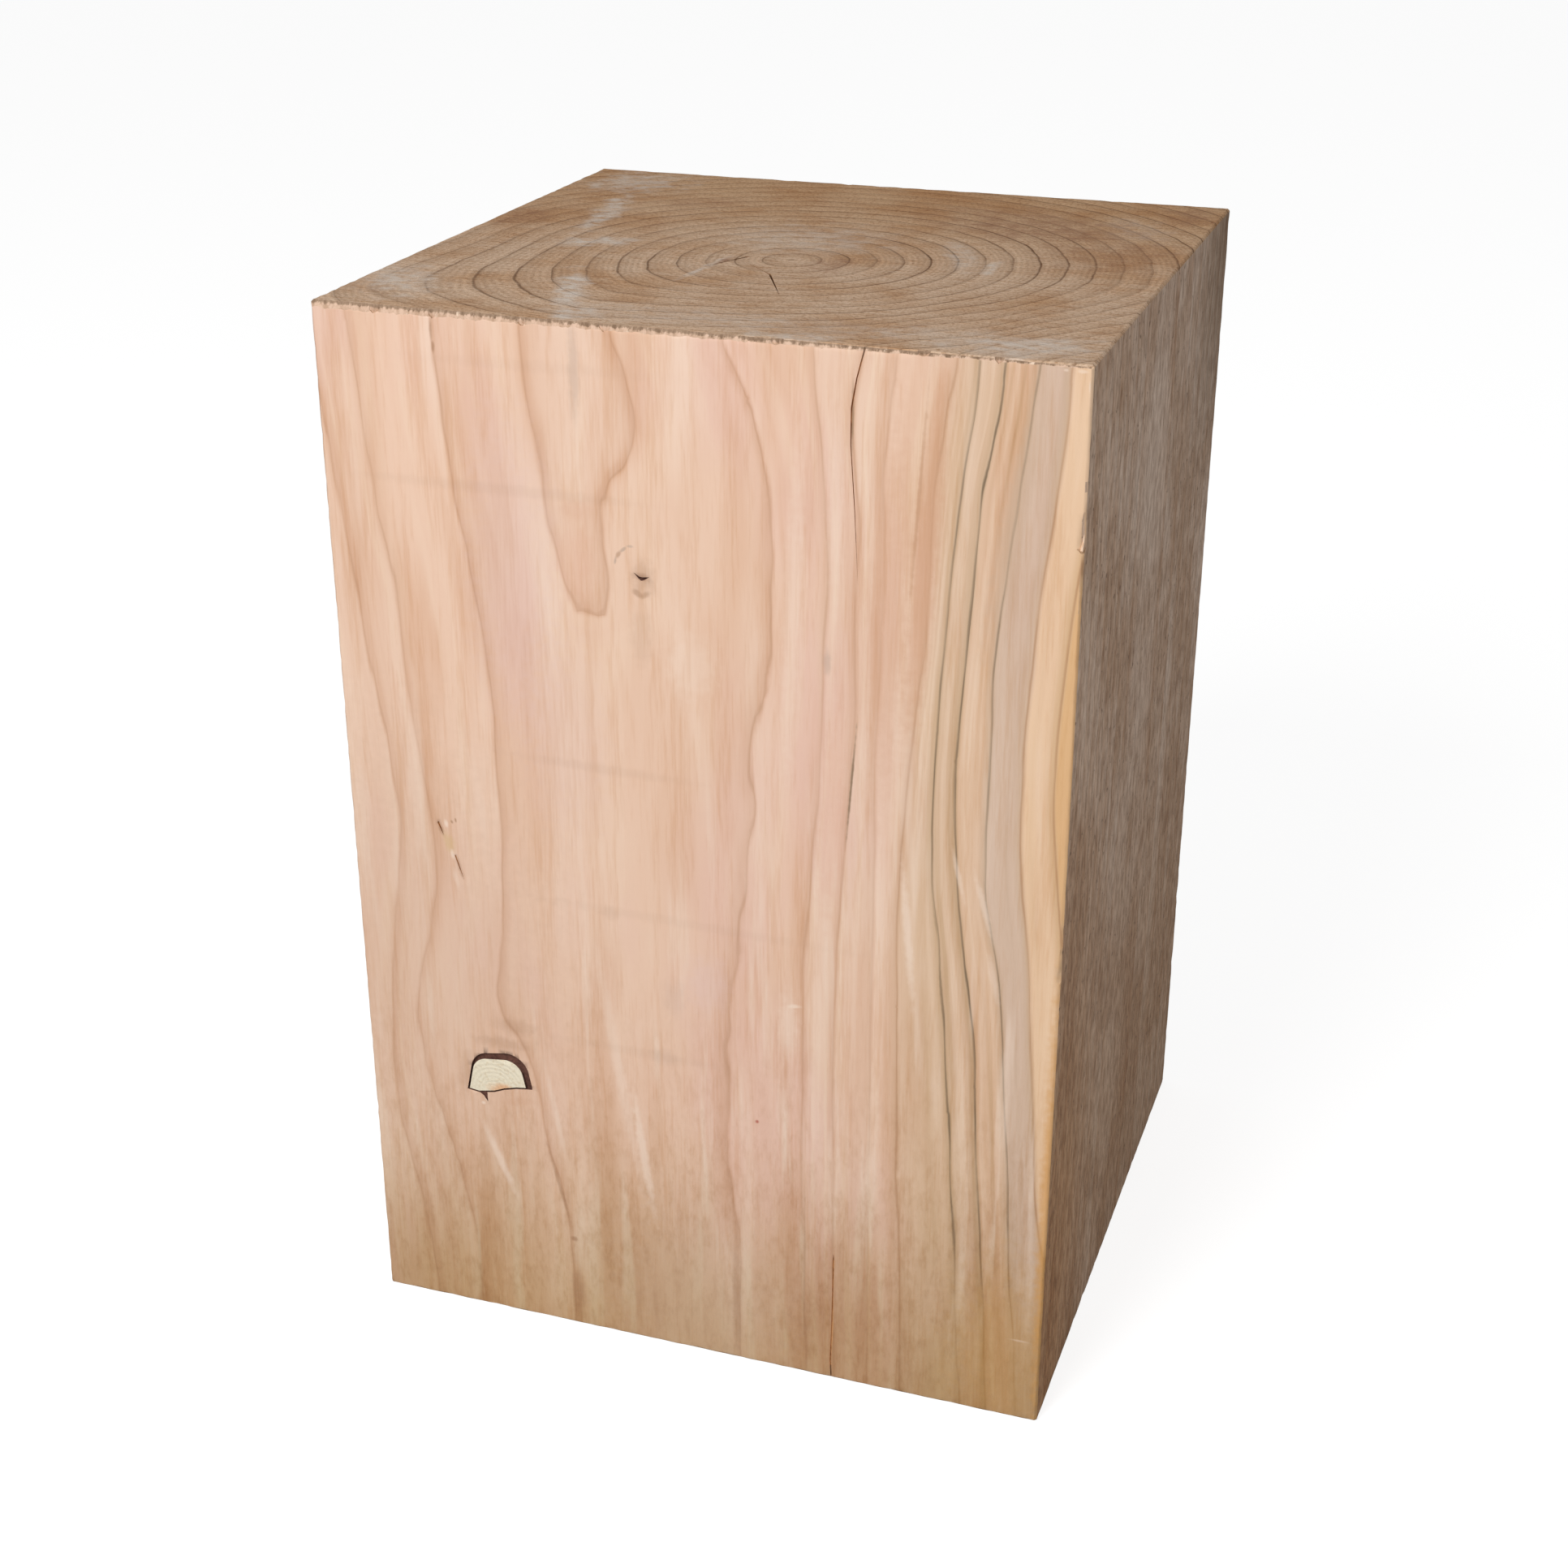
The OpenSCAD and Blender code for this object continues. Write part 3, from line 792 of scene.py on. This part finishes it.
    def torn_fibre(self):
        """Bright fresh wood of the lifted splinters."""
        material, net, shader = new_finish("torn_fibre")
        fibres = net.group(self.fibres)
        dark = net.rise(fibres["Fine"], 0.35, 0.7)
        paint = Paint(net, net.mix(dark, shade(246, 222, 198), shade(206, 166, 132)))
        coat(net, shader, paint.colour, 0.75)
        bump(net, shader, fibres["Fine"], 0.5, 0.3 * MM)
        return material


def course(points, heights):
    """Smooth run through (height, place) points in mm, at heights in mm."""
    known, places = zip(*points)
    return sum(np.interp(heights + step, known, places) for step in (-5, -2.5, 0, 2.5, 5)) / 5


def front_age(x, z):
    """Age of the wood on the front face, from its ring lines; x from the left side, z up, in mm."""
    core = course(FLAME_CORE, z)
    core_age = course(CORE_AGE, z)
    rim_age = np.maximum(core_age, FLAME_AGE)
    left_rim = np.minimum(course(FLAME_LEFT, z), core - 0.5)
    right_rim = np.maximum(course(FLAME_RIGHT, z), core + 0.5)
    lines = [(course(LEFT_RINGS[14], z) - YEAR_15_WIDTH, 15)]
    lines += [(course(points, z), age) for age, points in LEFT_RINGS.items()]
    lines += [(left_rim, rim_age), (core, core_age), (right_rim, rim_age)]
    lines += [(course(points, z), age) for age, points in RIGHT_RINGS.items()]
    age = np.zeros_like(x)
    for (x0, age0), (x1, age1) in zip(lines, lines[1:]):
        between = (x >= x0) & (x < x1)
        share = np.clip((x - x0) / np.maximum(x1 - x0, 1e-6), 0, 1)
        age = np.where(between, age0 + (age1 - age0) * share, age)
    first, first_age = lines[0]
    last, last_age = lines[-1]
    age = np.where(x >= last, last_age + (x - last) / RIGHT_WIDTH, age)
    return np.where(x < first, first_age + (first - x) / LEFT_WIDTH, age)


def ring_fields(places, wood):
    """Three values for each place: years by which its ring differs from a plain one around the pith,
    years in each mm, and how strongly its ring's line shows."""
    x, y, z = places.T / MM
    pith_x, pith_y = wood.pith_x / MM, wood.pith_y / MM
    width = wood.ring_width / MM
    front, left = FRONT / MM, LEFT / MM
    plain = (np.hypot(x - pith_x, front - pith_y) + wood.lean * (x - pith_x)) / width
    age = front_age(x - left, z)
    on_front = age - plain
    depth = np.clip((y - front) / FRONT_RINGS_DEPTH, 0, 1)
    near_front = 1 - depth * depth * (3 - 2 * depth)
    wander = np.array([noise.noise((a / 80, b / 80, c / 400)) for a, b, c in places / MM])
    shift = on_front * near_front + 0.5 * wander * (1 - near_front)
    front_pace = np.abs(front_age(x - left + 1, z) - front_age(x - left - 1, z)) / 2
    at_front = np.clip(1 - (y - front) / FRONT_PACE_DEPTH, 0, 1)
    pace = np.clip(front_pace, 0.03, 0.25) * at_front + (1 - at_front) / width
    strength = np.interp(age, *zip(*LINE_STRENGTH))
    return shift, pace, strength


def refine(bm, step):
    """Cuts the block by planes a step apart, and closer near its edges, to carry wear and rings."""
    near = (0.9 * MM, 2.2 * MM, 4.2 * MM)
    for axis in range(3):
        low, high = BLOCK_LOW[axis], BLOCK_HIGH[axis]
        count = round((high - low) / step)
        places = [low + (high - low) * i / count for i in range(3, count - 2)]
        places += [low + d for d in near] + [high - d for d in near]
        normal = Vector((0, 0, 0))
        normal[axis] = 1
        for place in places:
            everything = bm.verts[:] + bm.edges[:] + bm.faces[:]
            bmesh.ops.bisect_plane(
                bm, geom=everything, dist=CUT_POINT, plane_co=normal * place, plane_no=normal
            )


# The block's finishes, in the order of its material slots
FRONT_FACE, END, BARK, KNOT, TORN, SIDE, RESIN, RAGGED = range(8)


def face_distances(place):
    """Distance inwards from the nearer of the two faces across each axis."""
    return [min(place[axis] - BLOCK_LOW[axis], BLOCK_HIGH[axis] - place[axis]) for axis in range(3)]


def finish_of(face):
    """Which of the block's finishes a face takes, by where it lies and how it is turned."""
    middle = face.calc_center_median()
    normal = face.normal
    from_left = (middle.x - LEFT) / MM
    height = middle.z / MM
    below_top = TOP - middle.z
    depth = (middle.y - FRONT) / MM
    pocket_left, pocket_right, pocket_low, pocket_high = POCKET_BOX
    in_pocket = pocket_left < from_left < pocket_right and pocket_low < height < pocket_high
    nearest, second, _ = sorted(face_distances(middle))
    if in_pocket and 0.02 < depth < POCKET_DEPTH:
        return BARK
    if nearest > INSIDE_FACE * MM and second > INSIDE_EDGE * MM:
        in_pit = height > PIT_LOW and from_left < PIT_RIGHT and below_top > depth * MM
        return BARK if in_pit else RESIN
    if abs(normal.z) > 0.5:
        return END
    in_strip = below_top < TORN_HEIGHT * MM and 0.01 < depth < TORN_DEPTH
    if in_strip and normal.y < -0.5 and abs(normal.x) < 0.5:
        return RAGGED
    least, most = SEAT_DEPTHS
    in_seat = abs(height - SPLINTER_ROOT) < SEAT_REACH and least * MM < RIGHT - middle.x < most * MM
    if in_seat and normal.x > 0.5:
        return SIDE
    return FRONT_FACE if normal.y < -0.3 else SIDE


def knot_faces(bm):
    """The flat cut end of the branch: the faces that join up inside the bark gap."""
    middle = Vector((LEFT + KNOT_MIDDLE[0] * MM, FRONT, KNOT_MIDDLE[1] * MM))
    flat = [
        f for f in bm.faces
        if f.normal.y < -0.99 and abs(f.calc_center_median().y - FRONT) < SAME_POINT
    ]
    start = min(flat, key=lambda f: (f.calc_center_median() - middle).length)
    allowed = set(flat)
    found = {start}
    queue = [start]
    while queue:
        face = queue.pop()
        for edge in face.edges:
            for other in edge.link_faces:
                if other in allowed and other not in found:
                    found.add(other)
                    queue.append(other)
    return found


def fray_top_edge(bm):
    """Makes the rim of the torn top edge ragged: finer cuts there, then small shifts up and down."""
    reach = 5 * MM
    step = 0.8 * MM
    kept = 0.4 * MM
    rim = 3 * MM
    front_depth = 1.2 * MM
    shift = 0.5 * MM
    middles = [(face, face.calc_center_median()) for face in bm.faces]
    near = [face for face, place in middles if TOP - place.z < reach and place.y - FRONT < reach]
    parts = list({part for face in near for part in (face, *face.edges, *face.verts)})
    for i in range(1, round((RIGHT - LEFT) / step)):
        cut = bmesh.ops.bisect_plane(
            bm, geom=parts, dist=CUT_POINT, plane_co=(LEFT + i * step, 0, 0), plane_no=(1, 0, 0)
        )
        parts = cut["geom"]
    for vert in bm.verts:
        below = TOP - vert.co.z
        if kept < below < reach and vert.co.y - FRONT < front_depth:
            share = math.sin(math.pi * min(1, (below - kept) / rim))
            coarse = noise.noise((vert.co.x * 300, 0, 0))
            fine = noise.noise((vert.co.x * 1100, 5, 0))
            vert.co.z += shift * share * (coarse + 0.8 * fine)


def wear_edges(bm, depth):
    """Takes a ragged little off every arris, always inwards."""
    centre = (BLOCK_LOW + BLOCK_HIGH) / 2
    reach = 4 * MM
    for vert in bm.verts:
        place = vert.co.copy()
        close = [max(0.0, 1 - gap / reach) for gap in face_distances(place)]
        if sorted(close)[1] == 0:
            continue
        rough = 0.35 + 0.5 * noise.noise(place * 420) + 0.4 * noise.noise(place * 1300)
        rough = max(0.0, rough) ** 2
        for axis in range(3):
            others = max(close[other] for other in range(3) if other != axis)
            inwards = 1 if place[axis] < centre[axis] else -1
            vert.co[axis] += inwards * depth * rough * close[axis] ** 3 * others ** 3


def join_collection(obj):
    bpy.context.scene.collection.objects.link(obj)


class WOODBLOCK_OT_block(bpy.types.Operator):
    """Add the sawn block with its rings, knot, checks and worn edges"""

    bl_idname = "wood_block.block"
    bl_label = "Sawn Block"

    def execute(self, context):
        wood = context.scene.wood_block
        finishes = Finishes(wood)
        bm = bmesh.new()
        bm.from_mesh(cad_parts["wood_block"].data)
        bmesh.ops.remove_doubles(bm, verts=bm.verts, dist=SAME_POINT)
        refine(bm, wood.grid_step)
        for face in bm.faces:
            face.material_index = finish_of(face)
        for face in knot_faces(bm):
            face.material_index = KNOT
        fray_top_edge(bm)
        wear_edges(bm, wood.edge_wear)
        mesh = bpy.data.meshes.new("sawn_block")
        bm.to_mesh(mesh)
        bm.free()
        places = np.zeros(3 * len(mesh.vertices))
        mesh.vertices.foreach_get("co", places)
        fields = ring_fields(places.reshape(-1, 3), wood)
        for name, values in zip(("ring_shift", "ring_pace", "line_strength"), fields):
            mesh.attributes.new(name, "FLOAT", "POINT").data.foreach_set("value", values)
        for material in finishes.slots:
            mesh.materials.append(material)
        mesh.shade_smooth()
        mesh.set_sharp_from_angle(angle=math.radians(25))
        block = bpy.data.objects.new("sawn_block", mesh)
        join_collection(block)
        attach(block, "root")
        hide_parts("wood_block")
        return {"FINISHED"}


class WOODBLOCK_OT_splinters(bpy.types.Operator):
    """Add the slivers that lift from the front right edge"""

    bl_idname = "wood_block.splinters"
    bl_label = "Edge Splinters"

    def execute(self, context):
        bm = bmesh.new()
        slivers = (
            # Foot and tip, in from the right, in from the front and up; then half thickness; all mm
            ((0.8, 0.6, -0.5), (0.2, 1.5, 4.8), 0.6),
            ((0.6, 0.8, 0.2), (0.3, 1.3, 6), 0.3),
            ((0.7, 0.9, -0.5), (0.45, 1.5, 3), 0.25),
        )
        for foot, tip, thick in slivers:
            self.sliver(bm, self.place(foot), self.place(tip), thick * MM)
        mesh = bpy.data.meshes.new("edge_splinters")
        bm.to_mesh(mesh)
        bm.free()
        mesh.materials.append(bpy.data.materials["torn_fibre"])
        piece = bpy.data.objects.new("edge_splinters", mesh)
        join_collection(piece)
        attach(piece, "root")
        return {"FINISHED"}

    @staticmethod
    def place(offsets):
        """Where a point of a sliver lies, from its offsets in mm."""
        inwards, back, up = offsets
        return Vector((RIGHT - inwards * MM, FRONT + back * MM, (SPLINTER_ROOT + up) * MM))

    @staticmethod
    def sliver(bm, foot, tip, thick):
        """A slender, flattened strip of wood that tapers from foot to tip."""
        length = (tip - foot).length
        made = bmesh.ops.create_cone(
            bm, cap_ends=True, segments=6, radius1=thick, radius2=0.15 * thick, depth=length
        )
        verts = made["verts"]
        along = (tip - foot).normalized()
        turn = along.to_track_quat("Z", "Y").to_matrix().to_4x4()
        bmesh.ops.scale(bm, verts=verts, vec=(1, 0.5, 1))
        bmesh.ops.transform(bm, verts=verts, matrix=Matrix.Translation((foot + tip) / 2) @ turn)


# The studio in metres: reach of the floor, and where the lights aim and stand and how wide they are
FLOOR_REACH = 12
LIGHT_AIM = (0, 0, 0.17)
KEY_PLACE = (-0.35, -1.15, 1.0)
KEY_WIDTH = 0.7
FILL_PLACE = (1.35, -0.65, 0.6)
FILL_WIDTH = 0.9
# Width of the camera's sensor, in mm
SENSOR_WIDTH = 36


class WOODBLOCK_OT_stage(bpy.types.Operator):
    """Add the pale floor, the soft lights and the camera"""

    bl_idname = "wood_block.stage"
    bl_label = "Studio Stage"

    def execute(self, context):
        stage = context.scene.wood_block_stage
        self.floor(stage)
        self.lights(stage)
        self.camera(stage)
        return {"FINISHED"}

    @staticmethod
    def floor(stage):
        material, net, shader = new_material("studio_floor")
        seen = net.node("ShaderNodeLightPath").outputs["Is Camera Ray"]
        shader["Base Color"].default_value = (*stage.floor, 1)
        net.put(shader["Emission Color"], net.mix(seen, (0, 0, 0), tuple(stage.floor_glow)))
        shader["Emission Strength"].default_value = 1
        shader["Roughness"].default_value = 0.9
        bm = bmesh.new()
        bmesh.ops.create_grid(bm, x_segments=1, y_segments=1, size=FLOOR_REACH)
        mesh = bpy.data.meshes.new("floor")
        bm.to_mesh(mesh)
        bm.free()
        mesh.materials.append(material)
        floor = bpy.data.objects.new("floor", mesh)
        join_collection(floor)

    @staticmethod
    def area_light(name, place, size, power):
        data = bpy.data.lights.new(name, "AREA")
        data.shape = "DISK"
        data.size = size
        data.energy = power
        light = bpy.data.objects.new(name, data)
        light.location = place
        light.rotation_euler = (Vector(LIGHT_AIM) - Vector(place)).to_track_quat("-Z", "Y").to_euler()
        join_collection(light)

    def lights(self, stage):
        self.area_light("key_light", KEY_PLACE, KEY_WIDTH, stage.key_power)
        self.area_light("fill_light", FILL_PLACE, FILL_WIDTH, stage.fill_power)
        world = bpy.data.worlds.new("studio")
        world.use_nodes = True
        background = world.node_tree.nodes["Background"].inputs
        background["Color"].default_value = (1, 1, 1, 1)
        net = NodeNet(world.node_tree)
        seen = net.node("ShaderNodeLightPath").outputs["Is Camera Ray"]
        net.put(background["Strength"], net.times_add(seen, 1 - stage.ambient, stage.ambient))
        bpy.context.scene.world = world
        bpy.context.scene.view_settings.view_transform = "Standard"

    @staticmethod
    def camera(stage):
        data = bpy.data.cameras.new("photo_view")
        data.lens = stage.lens
        data.sensor_width = SENSOR_WIDTH
        camera = bpy.data.objects.new("photo_view", data)
        back = Vector((
            math.sin(stage.azimuth) * math.cos(stage.elevation),
            -math.cos(stage.azimuth) * math.cos(stage.elevation),
            math.sin(stage.elevation),
        ))
        camera.location = Vector((stage.aim_x, stage.aim_y, stage.aim_z)) + back * stage.distance
        camera.rotation_euler = (-back).to_track_quat("-Z", "Y").to_euler()
        join_collection(camera)
        bpy.context.scene.camera = camera


class WOODBLOCK_PT_panel(bpy.types.Panel):
    """Lists the block's pieces and its settings"""

    bl_idname = "WOODBLOCK_PT_panel"
    bl_label = "Wood Block"
    bl_space_type = "VIEW_3D"
    bl_region_type = "UI"
    bl_category = "Wood Block"

    def draw(self, context):
        for operator in STEPS:
            self.layout.operator(operator.bl_idname)
        for settings in (context.scene.wood_block, context.scene.wood_block_stage):
            box = self.layout.box()
            for name in settings.__annotations__:
                box.prop(settings, name)


STEPS = (WOODBLOCK_OT_block, WOODBLOCK_OT_splinters, WOODBLOCK_OT_stage)
CLASSES = (BlockSettings, StageSettings, *STEPS, WOODBLOCK_PT_panel)


def register():
    for cls in CLASSES:
        bpy.utils.register_class(cls)
    bpy.types.Scene.wood_block = PointerProperty(type=BlockSettings)
    bpy.types.Scene.wood_block_stage = PointerProperty(type=StageSettings)


def unregister():
    del bpy.types.Scene.wood_block_stage
    del bpy.types.Scene.wood_block
    for cls in reversed(CLASSES):
        bpy.utils.unregister_class(cls)


def main():
    register()
    bpy.ops.wood_block.block()
    bpy.ops.wood_block.splinters()
    bpy.ops.wood_block.stage()


if __name__ == "__main__":
    main()
